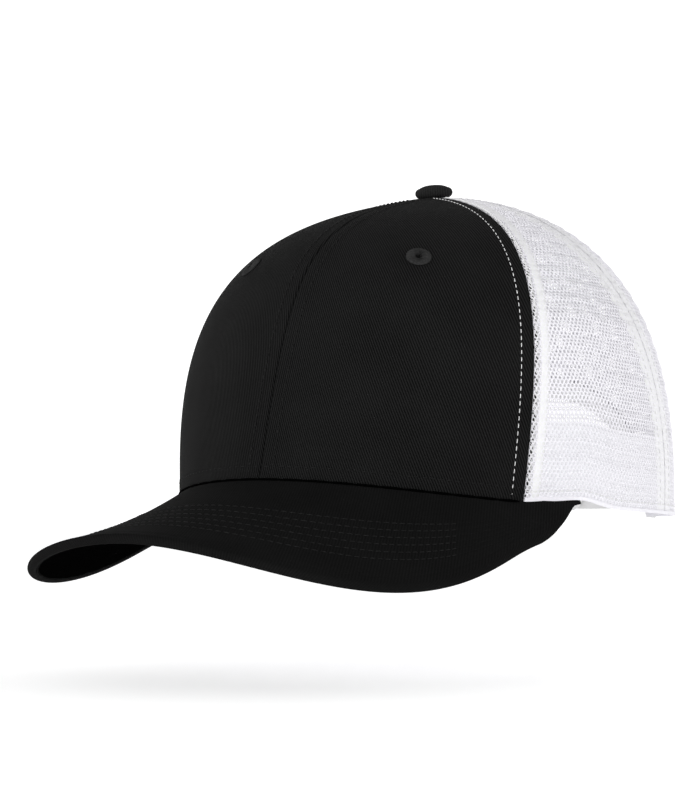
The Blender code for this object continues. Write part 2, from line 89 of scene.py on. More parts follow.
# Visor
VISOR_HALF_WIDTH = 76.7
VISOR_LENGTH = 72.1
VISOR_TIP = 73.7
TIP_RAISE = 2.4
TIP_RAISE_SPREAD = 12.0
VISOR_SIDE_POWER = 2.645
VISOR_NOSE_POWER = 3.3
VISOR_ROOT_HEIGHT = 6.8
VISOR_BEND_RADIUS = 101.6
VISOR_BEND_FLARE = 0.139
VISOR_SLOPE = 19.6
VISOR_LIFT = 16.3
VISOR_THICKNESS = 3.1
VISOR_CLOTH = 0.4
VISOR_LIP = 3.2
VISOR_ROWS = np.linspace(0.385, 0.765, 6)

# Half-moon opening and snap closure
ARCH_HALF_WIDTH = 33.3
ARCH_RISE = 0.25
ARCH_POWER = 2.5
STRAP_FOOT = 0.003
STRAP_TOP = 0.085
STRAP_HEIGHT = 18.0
STRAP_RAISE = 0.013
STRAP = 1.2
STRAP_TAB_DEPTH = 2.0
STRAP_RAMP = 6.0
HINGE_INSET = 2.7
STRAP_BEND = 2.2
TAB_REACH = 9.0
PEG_PITCH = 5.2
PEG_COUNT = 7
PEG_TOP = 2.3
HOLE_RADIUS = 2.75
PEGS_IN_USE = 4
FIRST_PEG = 180 + (PEGS_IN_USE - 1) * PEG_PITCH / 2
STRAP_END_MARGIN = 3.5
MM_PER_DEGREE = 1.63

EYELET_AZIMUTHS = {"left": 35.4, "right": -32.4}
EYELET_RISE = 0.50
VENT_RADIUS = 0.62
BUTTON_TILT = 8.0
HEM_STITCH = 4.5
TAPE_LARGEST_SHARE = 13.0
BEHIND_MESH = -0.12
FLOOR_DROP = 0.03
VIEW_AZIMUTH = 32.6


# Shape of the crown

def tip_raise(x, y):
    """Raise of the visor's corners and of the hem beside them."""
    across, along = (np.abs(x) - 79.0) / TIP_RAISE_SPREAD, (y + 29.0) / TIP_RAISE_SPREAD
    return TIP_RAISE * np.exp(-across ** 2 - along ** 2)


def visor_height(x, y):
    """Height of the visor's upper surface, carried on under the crown."""
    forward = -HALF_LENGTH - y
    bend = VISOR_BEND_RADIUS * (1 + VISOR_BEND_FLARE * np.clip(forward, -50, 90) / 100)
    drop = bend - np.sqrt(bend ** 2 - x ** 2)
    fall = tan(radians(VISOR_SLOPE)) * forward
    return VISOR_ROOT_HEIGHT - drop - fall + VISOR_LIFT * (np.clip(forward, -60, 100) / 100) ** 2


def opening(azimuth):
    """Plan position on the outline of the head opening."""
    angle = np.radians(azimuth)
    x = HALF_WIDTH * np.sin(angle) * (1 - BACK_FULLNESS * np.cos(angle))
    return x, -HALF_LENGTH * np.cos(angle)


def hem_height(azimuth):
    """Height of the hem: along the visor, then easing down to the back."""
    turn = np.abs((azimuth + 180) % 360 - 180)
    along_visor = visor_height(*opening(np.minimum(turn, HEM_START)))
    start = visor_height(*opening(HEM_START))
    slope = (start - visor_height(*opening(HEM_START - 1))) * HEM_EASING
    reach = 180 - HEM_START
    share = np.clip((turn - HEM_START) / reach, 0, 1)
    fall = share * share * (3 - 2 * share)
    carry = share * (1 - share) ** 2 * slope * reach
    behind = start * (1 - fall) + HEM_BACK_HEIGHT * fall + carry
    return np.where(turn <= HEM_START, along_visor, behind) + tip_raise(*opening(turn))


def crown(azimuth, rise):
    """Points on the crown's outer surface."""
    azimuth, rise = np.broadcast_arrays(azimuth, rise)
    along = np.cos(np.radians(azimuth))

    def rib(values):
        front, side, back = values
        return side + (front - back) / 2 * along + ((front + back) / 2 - side) * along ** 2

    first = 3 * rise * (1 - rise) ** 2
    second = 3 * rise ** 2 * (1 - rise)
    reach = (1 - rise) ** 3 + first * (1 + rib(RIB_LEAN)) + second * rib(RIB_SHOULDER)
    height = first * rib(RIB_RISE) + second * (1 - rib(RIB_CREST)) + rise ** 3
    hem = hem_height(azimuth)
    x, y = opening(azimuth)
    y = y * reach + APEX_SET_BACK * np.maximum(height, 0) ** 1.5
    return np.stack([x * reach, y, hem + (CROWN_HEIGHT - hem) * height], -1)


def unit(vectors):
    """Vectors scaled to length one."""
    return vectors / np.linalg.norm(vectors, axis=-1, keepdims=True)


def crown_axes(azimuth, rise):
    """Change per degree of azimuth, change per unit of rise, and the outward normal."""
    turn, climb = 0.2, 0.001
    across = (crown(azimuth + turn, rise) - crown(azimuth - turn, rise)) / (2 * turn)
    up = (crown(azimuth, rise + climb) - crown(azimuth, rise - climb)) / (2 * climb)
    return across, up, unit(np.cross(across, up))


def on_crown(azimuth, rise, out=0.0):
    """Points at a height above the crown's outer surface."""
    azimuth, rise, out = np.broadcast_arrays(azimuth, rise, out)
    return crown(azimuth, rise) + crown_axes(azimuth, rise)[2] * out[..., None]


def seam_azimuth(seam, rise):
    """Azimuth of a seam at a rise."""
    hem, bow, drift = seam
    return hem + bow * 4 * rise * (1 - rise) + drift * rise


def eased(value, start, end):
    """0 before start, 1 after end, smooth between."""
    share = np.clip((value - start) / (end - start), 0, 1)
    return share * share * (3 - 2 * share)


def bump_at(distance, centre, width):
    """A soft ridge of height one."""
    return np.exp(-((distance - centre) / width) ** 2)


def distances(line):
    """Distance along a line of points to each of them."""
    return np.concatenate([[0], np.cumsum(np.linalg.norm(np.diff(line, axis=0), axis=-1))])


def at_marks(table, marks, spots):
    """Rows of a table known at some marks, read at other spots."""
    return np.stack([np.interp(spots, marks, column) for column in table.T], -1)


def pair(first, second):
    """Two coordinates side by side."""
    return np.stack(np.broadcast_arrays(first, second), -1)


def full_turn(count):
    """Evenly spaced angles round a circle."""
    return np.arange(count) * 2 * pi / count


class Gore:
    """A crown panel laid out flat: w mm across from its middle rib, s mm up from the hem."""

    def __init__(self, first_seam, last_seam):
        self.rises = np.linspace(0, APEX_RISE, 240)
        first = seam_azimuth(first_seam, self.rises)
        last = seam_azimuth(last_seam, self.rises)
        self.middle = (first + last) / 2
        self.half_angle = (last - first) / 2
        shares = np.linspace(0, 1, 17)[:, None]
        across = crown(first + (last - first) * shares, self.rises)
        self.half_width = np.linalg.norm(np.diff(across, axis=0), axis=-1).sum(0) / 2
        self.lengths = distances(crown(self.middle, self.rises))
        self.length = self.lengths[-1]

    def place(self, w, s):
        """Azimuth and rise of a point of the flat panel."""
        rise = np.interp(s, self.lengths, self.rises)
        middle = np.interp(rise, self.rises, self.middle)
        scale = np.interp(rise, self.rises, self.half_angle / self.half_width)
        return middle + w * scale, rise

    def rise_at(self, s):
        """Rise at a height in mm."""
        return np.interp(s, self.lengths, self.rises)

    def width_at(self, s):
        """Half the panel's width at a height."""
        return np.interp(s, self.lengths, self.half_width)


# Meshes

def add_item(name, data):
    """A new object in the scene."""
    item = bpy.data.objects.new(name, data)
    bpy.context.scene.collection.objects.link(item)
    return item


def evaluated_mesh(item):
    """An object's mesh with its modifiers applied."""
    return bpy.data.meshes.new_from_object(
        item.evaluated_get(bpy.context.evaluated_depsgraph_get()))


def mesh_of(name, shape):
    """A mesh from a bmesh, which is then freed."""
    mesh = bpy.data.meshes.new(name)
    shape.to_mesh(mesh)
    shape.free()
    return mesh


def make_object(name, points, faces, uv=None, flip=False):
    """A smooth-shaded mesh object from points in millimetres."""
    points = np.array(points, float)
    if flip:
        points[:, 0] *= -1
        faces = [tuple(reversed(face)) for face in faces]
    mesh = bpy.data.meshes.new(name)
    mesh.from_pydata((points * MM).tolist(), [], faces)
    if uv is not None:
        uv = np.array(uv, float)
        if flip:
            uv[:, 0] *= -1
        corners = np.empty(len(mesh.loops), int)
        mesh.loops.foreach_get("vertex_index", corners)
        mesh.uv_layers.new(name="cloth").data.foreach_set("uv", uv[corners].ravel())
    mesh.shade_smooth()
    return add_item(name, mesh)


def grid_quads(rows, columns, start=0, wrap=False):
    """Quads of a grid of points stored row by row."""
    index = np.arange(rows * columns).reshape(rows, columns) + start
    if wrap:
        index = np.concatenate([index, index[:, :1]], 1)
    quads = np.stack([index[:-1, :-1], index[:-1, 1:], index[1:, 1:], index[1:, :-1]], -1)
    return quads.reshape(-1, 4)


def shell_faces(rows, columns):
    """Faces of a closed shell between an outer and an inner grid of points."""
    count = rows * columns
    outer = grid_quads(rows, columns)
    index = np.arange(count).reshape(rows, columns)
    rims = [
        np.stack([edge[:-1], edge[1:], edge[1:] + count, edge[:-1] + count], -1)
        for edge in (index[0, ::-1], index[-1], index[:, 0], index[::-1, -1])]
    return np.concatenate([outer, outer[:, ::-1] + count, *rims]).tolist()


def make_shell(name, outer, inner, uv, flip=False):
    """A closed shell from two grids of points, with cloth coordinates in mm."""
    rows, columns = outer.shape[:2]
    points = np.concatenate([outer.reshape(-1, 3), inner.reshape(-1, 3)])
    uv = np.tile(uv.reshape(-1, 2), (2, 1))
    return make_object(name, points, shell_faces(rows, columns), uv, flip)


def settle(item, material, nodes=()):
    """Give a piece of the crown its material and hide the CAD nodes it replaces."""
    item.data.materials.append(material)
    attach(item, "crown")
    if nodes:
        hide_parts(*nodes)


def graded(count, fine, share):
    """Shares from 0 to 1, with the fine steps packed into a share at each end."""
    ends = np.linspace(0, share, fine, endpoint=False)
    middle = np.linspace(share, 1 - share, count - 2 * fine + 1)
    return np.concatenate([ends, middle, 1 - ends[::-1]])


# Materials

def set_inputs(node, **values):
    """Set inputs of a node by their names, with an underscore for a space."""
    for name, value in values.items():
        node.inputs[name.replace("_", " ")].default_value = value


class Look:
    """A Principled material with a small node tree for its pattern."""

    def __init__(self, name, roughness=0.9, **sockets):
        self.material = bpy.data.materials.new(name)
        self.material.use_nodes = True
        self.tree = self.material.node_tree
        self.shader = self.tree.nodes["Principled BSDF"]
        set_inputs(self.shader, Roughness=roughness, **sockets)

    def add(self, kind, *inputs, **settings):
        """A node with its inputs in order, as numbers or other nodes' outputs."""
        node = self.tree.nodes.new(kind)
        for key, value in settings.items():
            setattr(node, key, value)
        for socket, value in zip(node.inputs, inputs):
            if isinstance(value, bpy.types.NodeSocket):
                self.tree.links.new(value, socket)
            else:
                socket.default_value = value
        return node.outputs[0]

    def math(self, operation, *inputs):
        """A Math node."""
        return self.add("ShaderNodeMath", *inputs, operation=operation)

    def cloth(self):
        """The two cloth coordinates, in millimetres."""
        uv = self.add("ShaderNodeUVMap", uv_map="cloth")
        split = self.add("ShaderNodeSeparateXYZ", uv).node
        return split.outputs[0], split.outputs[1]

    def stripes(self, u, v, period, degrees):
        """Sine stripes at an angle to the cloth's width."""
        angle = radians(degrees)
        across = self.math("MULTIPLY", u, sin(angle) * 2 * pi / period)
        up = self.math("MULTIPLY", v, -cos(angle) * 2 * pi / period)
        return self.math("SINE", self.math("ADD", across, up))

    def noise(self, scale, detail=3.0, roughness=0.6):
        """Noise in object space, with its scale in cycles per metre."""
        place = self.add("ShaderNodeTexCoord").node.outputs["Object"]
        node = self.add("ShaderNodeTexNoise", place).node
        set_inputs(node, Scale=scale, Detail=detail, Roughness=roughness)
        return node.outputs[0]

    def colour(self, value, dark, light, low=0.0, high=1.0):
        """Base colour between two colours or greys as a value runs from low to high."""
        ramp = self.add("ShaderNodeValToRGB", value).node
        for stop, place, shade in zip(ramp.color_ramp.elements, (low, high), (dark, light)):
            stop.position = place
            stop.color = (*np.broadcast_to(shade, 3), 1)
        self.tree.links.new(ramp.outputs[0], self.shader.inputs["Base Color"])

    def rough(self, value, low, high):
        """Roughness that follows a value from 0 to 1."""
        self.tree.links.new(
            self.math("ADD", self.math("MULTIPLY", value, high - low), low),
            self.shader.inputs["Roughness"])

    def bump(self, height, distance_mm, strength=1.0):
        """Bump from a height between 0 and 1."""
        node = self.add("ShaderNodeBump").node
        set_inputs(node, Strength=strength, Distance=distance_mm * MM)
        self.tree.links.new(height, node.inputs["Height"])
        self.tree.links.new(node.outputs[0], self.shader.inputs["Normal"])


def twill_look(name, dark, light, period=0.88, specular=0.03, sheen=0.005, relief=1.0):
    """Cotton twill: steep diagonal ribs crossed by finer threads, and a nap."""
    look = Look(name, 0.88, Specular_IOR_Level=specular, Sheen_Weight=sheen, Sheen_Roughness=0.5)
    u, v = look.cloth()
    ribs = look.stripes(u, v, period, -65.0)
    threads = look.stripes(u, v, period * 0.52, 12.0)
    nap = look.noise(1400.0, 4.0, 0.7)
    crossed = look.math("MULTIPLY", ribs, 0.42 * relief)
    weave = look.math("MULTIPLY_ADD", threads, 0.2 * relief, crossed)
    height = look.math("ADD", weave, look.math("MULTIPLY_ADD", nap, 0.6, 0.2))
    broad = look.noise(55.0, 2.0, 0.5)
    tone = look.math("MULTIPLY_ADD", broad, 0.25, look.math("MULTIPLY", height, 0.75))
    look.colour(tone, dark, light, 0.1, 0.85)
    look.rough(nap, 0.8, 0.98)
    look.bump(height, 0.16 * relief, 0.9)
    return look.material


def plain_look(name, dark, light, period=0.5, depth=0.08, sheen=0.1, specular=0.2):
    """Plain-woven tape or lining: fine threads both ways."""
    look = Look(name, 0.85, Specular_IOR_Level=specular, Sheen_Weight=sheen, Sheen_Roughness=0.5)
    u, v = look.cloth()
    weave = look.math("MULTIPLY", look.stripes(u, v, period, 90.0), look.stripes(u, v, period, 0.0))
    fuzz = look.noise(900.0, 3.0, 0.6)
    height = look.math("MULTIPLY_ADD", weave, 0.3, fuzz)
    look.colour(height, dark, light, 0.2, 0.9)
    look.rough(fuzz, 0.75, 0.95)
    look.bump(height, depth, 0.7)
    return look.material


def yarn_look(name, dark, light, scale=1500.0, roughness=0.6, specular=0.25):
    """Spun yarn or thread: a fine twist that catches a little light."""
    look = Look(name, roughness, Specular_IOR_Level=specular)
    twist = look.noise(scale, 4.0, 0.65)
    look.colour(twist, dark, light, 0.3, 0.75)
    look.rough(twist, roughness - 0.1, roughness + 0.15)
    look.bump(twist, 0.05, 0.5)
    return look.material


def plastic_look(name, dark, light, roughness=0.35):
    """Moulded plastic with a faint grain."""
    look = Look(name, roughness)
    grain = look.noise(320.0, 4.0, 0.6)
    look.colour(grain, dark, light, 0.3, 0.8)
    look.rough(grain, roughness - 0.08, roughness + 0.14)
    look.bump(grain, 0.03, 0.35)
    return look.material


def metal_look(name):
    """Pressed plated steel, brushed and slightly stained."""
    look = Look(name, 0.4, Metallic=1.0)
    stain = look.noise(260.0, 5.0, 0.7)
    look.colour(stain, (0.36, 0.35, 0.33), (0.66, 0.66, 0.67), 0.25, 0.7)
    look.rough(stain, 0.28, 0.55)
    look.bump(stain, 0.03, 0.4)
    return look.material


TWILL = twill_look("black_twill", 0.0008, 0.0165, period=0.82)
VISOR_TWILL = twill_look("visor_twill", 0.0015, 0.0115, specular=0.012, sheen=0.001, relief=0.35)
# Button twill is a lighter copy of the black twill: painted light, brightening the top of the cap
# that the dim sky above leaves dark
LIT_BUTTON_TWILL = twill_look("button_twill_painted_light", 0.006, 0.026, relief=0.5)
ALLOWANCE = plain_look("seam_allowance", 0.001, 0.003, sheen=0.0, specular=0.01)
# Near-black lining: partly the cloth's own black, partly painted shade, darker than the black twill
# so the visor's underside reads as shaded
BLACK_LINING_AND_SHADE = plain_look("black_lining_and_painted_shade", 0.0006, 0.0016, sheen=0.0, specular=0.0)
BLACK_THREAD = yarn_look("black_thread", 0.007, 0.020, 1800.0, 0.65, 0.05)
# Visor thread is black thread painted lighter than the visor twill: painted sheen, so the rows of
# stitches read as light lines
VISOR_THREAD_SHEEN = yarn_look("visor_thread_black_painted_sheen", 0.008, 0.024, 1800.0, 0.65, 0.05)
# Under-visor thread is a near-black copy of the black thread: painted shade for the visor's shaded
# underside
SHADED_UNDER_THREAD = yarn_look("under_thread_painted_shade", 0.001, 0.004, 1800.0, 0.7, 0.0)
EYELET_THREAD = yarn_look("eyelet_thread_black", 0.014, 0.04, 1400.0, 0.65, 0.08)
WHITE_THREAD = yarn_look("white_thread", 0.72, 0.88, 1800.0, 0.55)
MESH = yarn_look("white_mesh", (0.825, 0.815, 0.865), (0.91, 0.90, 0.94), 1200.0, 0.55)
TAPE = plain_look("white_tape", (0.80, 0.80, 0.805), (0.90, 0.90, 0.905))
BAND = plain_look("sweatband_cotton", (0.76, 0.755, 0.80), (0.86, 0.855, 0.89), 0.7, 0.12)
BUCKRAM = plain_look("buckram_weave", (0.62, 0.62, 0.61), (0.80, 0.80, 0.79), 1.3, 0.3, 0.0)
SNAP = plastic_look("white_snap_plastic", 0.72, 0.81)
BOARD = plastic_look("grey_visor_board", (0.24, 0.24, 0.25), (0.33, 0.33, 0.34), 0.5)
STEEL = metal_look("plated_steel")


# Stitching

def resample(line, normals, spots):
    """Points and normals at distances along a line of points."""
    marks = distances(line)
    return at_marks(line, marks, spots), unit(at_marks(normals, marks, spots))


def stitch_run(line, normals, pitch=2.7, share=0.78, radius=0.22, sink=0.3, lean=0.0):
    """Points and faces of stitches that dive into the cloth at both ends."""
    length = distances(line)[-1]
    count = max(1, int(length / pitch))
    pitch = length / count
    rings, sides = 5, 6
    along = np.linspace(0, 1, rings)
    spots = (np.arange(count)[:, None] + 0.5 + (along - 0.5) * share) * pitch
    points, out = resample(line, normals, spots)
    ahead, _ = resample(line, normals, np.clip(spots + 0.1, 0.1, length))
    behind, _ = resample(line, normals, np.clip(spots - 0.1, 0, length - 0.1))
    forward = unit(ahead - behind)
    side = np.cross(out, forward)
    from_middle = 2 * along - 1
    lift = radius * 0.9 - (sink + radius) * np.abs(from_middle) ** 3
    centre = points + out * lift[None, :, None] + side * (lean * from_middle)[None, :, None]
    girth = radius * (1 - 0.45 * np.abs(from_middle) ** 4)
    angles = full_turn(sides)
    ring = (side[:, :, None] * np.cos(angles)[None, None, :, None]
            + out[:, :, None] * np.sin(angles)[None, None, :, None])
    points = (centre[:, :, None] + ring * girth[None, :, None, None]).reshape(-1, 3)
    tube = grid_quads(rings, sides, wrap=True)[:, ::-1].tolist()
    tube += [list(range(sides)), list(range((rings - 1) * sides, rings * sides))[::-1]]
    faces = [[k * rings * sides + i for i in face] for k in range(count) for face in tube]
    return points, faces


def sew(name, lines, material, slot, flip=False, **stitch):
    """A piece made of all the stitches along some lines."""
    points, faces, start = [], [], 0
    for line, normals in lines:
        run_points, run_faces = stitch_run(line, normals, **stitch)
        points.append(run_points)
        faces += [[start + i for i in face] for face in run_faces]
        start += len(run_points)
    settle(make_object(name, np.concatenate(points), faces, flip=flip), material)


def crown_line(azimuth, rise, out=0.0):
    """A line of points on the crown with its normals."""
    return on_crown(azimuth, rise, out), crown_axes(azimuth, rise)[2]


def beside_seam(seam, offset, start=0.0, end=0.97, out=0.0):
    """A line that runs up the crown at a distance from a seam."""
    rise = np.linspace(start, end, 220)
    azimuth = seam_azimuth(seam, rise)
    across = np.linalg.norm(crown_axes(azimuth, rise)[0], axis=-1)
    return crown_line(azimuth + offset / across, rise, out)


# Crown panels

FRONT = Gore(FRONT_SEAM, SIDE_SEAM)
SIDE = Gore(SIDE_SEAM, REAR_SIDE_SEAM)
REAR = Gore(REAR_SIDE_SEAM, REAR_SEAM)
SIDES = (("left", False), ("right", True))


def front_relief(from_front, from_side, up):
    """How far the sewn front panel stands proud of the smooth crown."""
    allowance = 0.12 * (1 - eased(from_front, 5.0, 7.4)) + 0.14 * (1 - eased(from_side, 5.4, 7.4))
    creases = 0.5 * bump_at(from_front, 0, 0.55) + 0.45 * bump_at(from_side, 0, 0.5)
    stitched = 0.08 * bump_at(from_front, 4.6, 0.5) + 0.12 * bump_at(from_side, 5.0, 0.5)
    hem = 0.20 * bump_at(up, HEM_STITCH, 0.6) + 0.5 * bump_at(up, 0, 0.7)
    folded = 0.20 * (1 - eased(up, 4.8, 6.4))
    return allowance + folded - creases - stitched - hem


def add_front_panels():
    """Front panels of twill with their seam creases, and the buckram behind them."""
    u = graded(110, 26, 0.10)
    v = np.concatenate([np.linspace(0, 0.045, 18, endpoint=False), np.linspace(0.045, 1, 130)])
    s = np.repeat(v[:, None] * FRONT.length, len(u), 1)
    half = FRONT.width_at(s)
    w = (2 * u[None, :] - 1) * (half - 0.05)
    azimuth, rise = FRONT.place(w, s)
    relief = front_relief(half + w, half - w, s)
    outer = on_crown(azimuth, rise, relief)
    inner = on_crown(azimuth, rise, np.minimum(relief, 0) - 0.6)
    w2, s2 = w[::3, ::3] * 0.985, np.maximum(s[::3, ::3], 1.5)
    face, back = (on_crown(*FRONT.place(w2, s2), height) for height in (-1.25, -1.7))
    for side, flip in SIDES:
        panel = make_shell(f"twill_front_{side}", outer, inner, pair(w, s), flip)
        pierce(panel, side)
        settle(panel, TWILL, [f"front_panel_{side}"])
        liner = make_shell(f"buckram_sheet_{side}", face, back, pair(w2, s2), flip)
        pierce(liner, side)
        settle(liner, BUCKRAM, [f"buckram_{side}"])


def pierce(panel, side):
    """Cut the vent hole through a front layer."""
    azimuth = EYELET_AZIMUTHS[side]
    centre = on_crown(azimuth, EYELET_RISE, -1.0)
    normal = Vector(crown_axes(azimuth, EYELET_RISE)[2])
    turn = normal.to_track_quat("Z", "Y").to_matrix().to_4x4()
    shape = bmesh.new()
    bmesh.ops.create_cone(
        shape, cap_ends=True, segments=20, radius1=VENT_RADIUS * MM, radius2=VENT_RADIUS * MM,
        depth=6 * MM, matrix=Matrix.Translation(Vector(centre) * MM) @ turn)
    cutter = add_item("vent", mesh_of("vent", shape))
    cut = panel.modifiers.new("vent", "BOOLEAN")
    cut.object = cutter
    cut.operation = "DIFFERENCE"
    shaped = evaluated_mesh(panel)
    panel.modifiers.clear()
    panel.data = shaped
    panel.data.shade_smooth()
    bpy.data.objects.remove(cutter, do_unlink=True)


CELL_WIDTH = 1.75
CELL_PITCH = 1.35
CELL_OPEN = (0.31, 0.47)
CELL_BAND = 5.9
CELL_BAND_DEPTH = 0.22
CELL_ROW_DEPTH = 0.2
YARN_TOP = 0.0
YARN_EDGE = -0.17
YARN_BACK = -0.34


def cell_centres(gore, margin=2.0):
    """Centres of staggered cells over a flat panel."""
    rows = np.arange(int(gore.length / CELL_PITCH) + 1)
    reach = int((gore.half_width.max() + margin) / CELL_WIDTH) + 1
    columns = np.arange(-reach, reach + 1)
    w = columns[None, :] * CELL_WIDTH + (rows[:, None] % 2) * CELL_WIDTH / 2
    s = rows[:, None] * CELL_PITCH + CELL_PITCH / 2
    return pair(w, s).reshape(-1, 2)


def add_mesh_panel(name, gore, flip, nodes):
    """A panel of open hexagonal cells in rounded yarn."""
    centres = cell_centres(gore)
    inside = np.abs(centres[:, 0]) < gore.width_at(centres[:, 1]) + CELL_WIDTH * 0.3
    centres = centres[inside & outside_arch(*gore.place(*centres.T))]
    corner = np.array([
        [0.5, 1 / 3], [0, 2 / 3], [-0.5, 1 / 3], [-0.5, -1 / 3], [0, -2 / 3], [0.5, -1 / 3],
    ]) * [CELL_WIDTH, CELL_PITCH]
    rims = centres[:, None] + corner
    w, s = centres.T
    band = (1 + CELL_BAND_DEPTH * np.cos(2 * pi * s / CELL_BAND)
            + CELL_ROW_DEPTH * np.sin(pi * s / CELL_PITCH))
    opening_share = pair(CELL_OPEN[0], CELL_OPEN[1] * band)
    at_seam = 1 - eased(gore.width_at(s) - np.abs(w), 1.6, 2.4)
    opening_share = opening_share * (1 + 0.5 * at_seam[:, None])
    holes = centres[:, None] + corner * opening_share[:, None]
    keys = np.round(rims.reshape(-1, 2) * 100).astype(int)
    _, first, rim_index = np.unique(keys, axis=0, return_index=True, return_inverse=True)
    rim_points = rims.reshape(-1, 2)[first]
    rim_index = rim_index.reshape(-1, 6)
    count = len(rim_points)
    hole_index = np.arange(len(centres) * 6).reshape(-1, 6) + 2 * count
    flat = np.concatenate([rim_points, rim_points, holes.reshape(-1, 2)])
    limit = gore.width_at(flat[:, 1]) - 0.1
    flat[:, 0] = np.clip(flat[:, 0], -limit, limit)
    flat[:, 1] = np.clip(flat[:, 1], 0, gore.length)
    out = np.repeat([YARN_TOP, YARN_BACK, YARN_EDGE], [count, count, len(centres) * 6])
    w, s = flat.T
    azimuth, rise = gore.place(w, s)
    free = eased(limit - np.abs(w), 6, 9) * eased(s, 27, 31)
    turn = 2 * pi * s / CELL_BAND
    wave = free * (0.15 * np.sin(turn) + 0.05 * np.sin(2 * turn))
    points = on_crown(azimuth, rise, out + wave)
    rim_next, hole_next = np.roll(rim_index, -1, 1), np.roll(hole_index, -1, 1)
    top = np.stack([rim_index, rim_next, hole_next, hole_index], -1)
    back = np.stack([hole_index, hole_next, rim_next + count, rim_index + count], -1)
    edges = pair(rim_index, rim_next).reshape(-1, 2)
    ordered = np.sort(edges, axis=1)
    _, inverse, uses = np.unique(ordered, axis=0, return_inverse=True, return_counts=True)
    lone = edges[uses[inverse.ravel()] == 1]
    border = np.stack([lone[:, 1], lone[:, 0], lone[:, 0] + count, lone[:, 1] + count], -1)
    faces = np.concatenate([top.reshape(-1, 4), back.reshape(-1, 4), border]).tolist()
    item = make_object(name, points, faces, flip=flip)
    tidy_mesh(item, 0.02)
    settle(item, MESH, nodes)


def tidy_mesh(item, distance_mm):
    """Weld points that meet and drop faces that have closed up."""
    shape = bmesh.new()
    shape.from_mesh(item.data)
    bmesh.ops.remove_doubles(shape, verts=shape.verts, dist=distance_mm * MM)
    bmesh.ops.dissolve_degenerate(shape, edges=shape.edges, dist=distance_mm * MM / 4)
    shape.to_mesh(item.data)
    shape.free()
    item.data.shade_smooth()


def outside_arch(azimuth, rise):
    """Whether points lie clear of the half-moon opening, under its binding."""
    across = np.abs(180 - azimuth) / (ARCH_HALF_WIDTH + 1.2)
    return across ** ARCH_POWER + (np.maximum(rise, 0) / (ARCH_RISE + 0.012)) ** ARCH_POWER > 1


def add_mesh_panels():
    """Side and rear panels of open mesh."""
    for side, flip in SIDES:
        for part, gore in (("side", SIDE), ("rear", REAR)):
            add_mesh_panel(f"mesh_{part}_{side}", gore, flip, [f"{part}_mesh_{side}"])


# Tapes, bands and bindings

def ribbon(name, seam, first, last, top, start, flip=False, nodes=(), thickness=0.4,
           material=TAPE):
    """A tape along a seam, from one distance beside it to another."""
    rise = np.linspace(start, 0.97, 150)[:, None]
    share = np.linspace(0, 1, 9)[None, :]
    azimuth = seam_azimuth(seam, rise)
    across = np.linalg.norm(crown_axes(azimuth, rise)[0], axis=-1)
    narrowing = np.minimum(1, TAPE_LARGEST_SHARE * across / max(abs(first), abs(last)))
    offset = (first + (last - first) * share) * narrowing
    azimuth = azimuth + offset / across
    rise = np.repeat(rise, share.shape[1], 1)
    pillow = 0.05 * (1 - (2 * share - 1) ** 4)
    height = top(offset) if callable(top) else top
    outer = on_crown(azimuth, rise, height + pillow)
    inner = on_crown(azimuth, rise, height - thickness)
    uv = pair(offset, rise * 170)
    settle(make_shell(name, outer, inner, uv, flip), material, nodes)


def side_tape_top(offset):
    """Height of the side seam's tape: inside the front layers, then up against the mesh."""
    return -2.0 + 1.0 * eased(offset, -0.6, 0.0) + 0.92 * eased(offset, 1.5, 1.9)


def add_tapes():
    """Seam tapes, and the black seam allowance that shows through the mesh."""
    ribbon("tape_front", FRONT_SEAM, -8, 8, -2.1, 0.012, nodes=["seam_tape_front"])
    ribbon("tape_rear", REAR_SEAM, -8, 8, BEHIND_MESH, ARCH_RISE + 0.03, nodes=["seam_tape_rear"])
    for side, flip in SIDES:
        ribbon(f"tape_side_{side}", SIDE_SEAM, -6.0, 6.3, side_tape_top, 0.004, flip,
               [f"seam_tape_side_{side}"])
        ribbon(f"seam_allowance_{side}", SIDE_SEAM, 0.0, 1.7, -0.42, 0.002, flip,
               thickness=0.35, material=ALLOWANCE)
        ribbon(f"tape_rear_side_{side}", REAR_SIDE_SEAM, -9, 9, BEHIND_MESH, 0.004, flip,
               [f"seam_tape_rear_side_{side}"])


def add_sweatband():
    """Padded cotton band inside the hem, with its stitched lower roll."""
    end = 180 - ARCH_HALF_WIDTH - 2.0
    azimuth = np.linspace(-end, end, 420)[None, :]
    heights = np.array([0.6, 1.0, 1.8, 3.0, 4.2, 5.0, 5.8, 8, 11, 15, 19, 23, 25.6, 26.6, 27.0])
    up, azimuth = np.broadcast_arrays(heights[:, None], azimuth)
    rise = SIDE.rise_at(up)
    puff = 0.55 * np.sin(pi * np.clip((up - 5) / 22, 0, 1)) ** 0.6
    roll = 0.35 * bump_at(up, 2.2, 1.6)
    ripple = 0.10 * np.sin(azimuth * 0.9) * np.sin(azimuth * 0.23 + 1) * np.clip(up / 10, 0, 1)
    thin_end = eased(np.abs(azimuth), end - 9, end)
    outside = -1.75 + 1.60 * eased(np.abs(azimuth), 61.7, 63.6)
    inside = -3.4 - puff - roll - ripple + 0.8 * thin_end
    outer, inner = (on_crown(azimuth, rise, height) for height in (outside, inside))
    band = make_shell("sweatband_cotton", outer, inner, pair(azimuth * 1.6, up))
    settle(band, BAND, ["sweatband"])
    around = np.linspace(-end + 1, end - 1, 900)
    for name, height in (("band_thread_low", 5.0), ("band_thread_high", 26.0)):
        line, normals = crown_line(around, SIDE.rise_at(height), -3.5)
        sew(name, [(line, -normals)], WHITE_THREAD, "sweatband_white", pitch=3.0, radius=0.16,
            sink=0.2)


